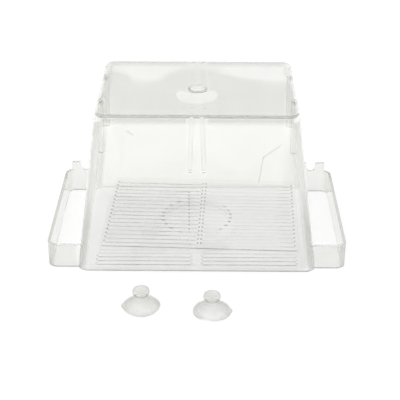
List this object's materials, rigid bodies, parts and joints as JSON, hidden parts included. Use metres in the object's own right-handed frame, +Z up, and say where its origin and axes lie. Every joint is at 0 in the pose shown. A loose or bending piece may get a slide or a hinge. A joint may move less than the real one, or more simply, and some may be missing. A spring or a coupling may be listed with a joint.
{
  "type": "fish breeding box",
  "caption": "Clear drafted tub with open side ears and hooks, standing rim down on a slotted hinged lid, with a loose slotted separator and suction cups.",
  "frame": {"origin": "centre of the tub's rim, on the plane that the rim, the ears, the lid and the suction cups rest on", "axes": "+Z up from the rim to the closed end, which is the box lying upside down; +X along the width, ear to ear; -Y towards the suction cups, +Y towards the hinge and the hooks"},
  "size_m": [0.197, 0.1735, 0.1065],
  "materials": {
    "clear_tub": "clear polished moulding",
    "clear_lid": "clear polished moulding",
    "clear_separator": "clear polished moulding",
    "soft_cup": "soft clear vinyl"
  },
  "bodies": {
    "lid": {"lid": "clear_lid"},
    "tub": {"tub": "clear_tub"},
    "separator": {"separator": "clear_separator"},
    "suction_cup_left": {"suction_cup_left": "soft_cup"},
    "suction_cup_right": {"suction_cup_right": "soft_cup"}
  },
  "joints": [
    {"name": "tub_hinge", "type": "hinge", "parent": "lid", "child": "tub", "pos_m": [0, 0.044, 0.0046], "axis": [-1, 0, 0], "range_deg": [0, 80]},
    {"name": "separator_lift", "type": "slide", "parent": "lid", "child": "separator", "axis": [0, 0, 1], "range_m": [0, 0.012]},
    {"name": "suction_cup_left_lift", "type": "slide", "parent": "lid", "child": "suction_cup_left", "axis": [0, 0, 1], "range_m": [0, 0.04]},
    {"name": "suction_cup_right_lift", "type": "slide", "parent": "lid", "child": "suction_cup_right", "axis": [0, 0, 1], "range_m": [0, 0.04]}
  ]
}
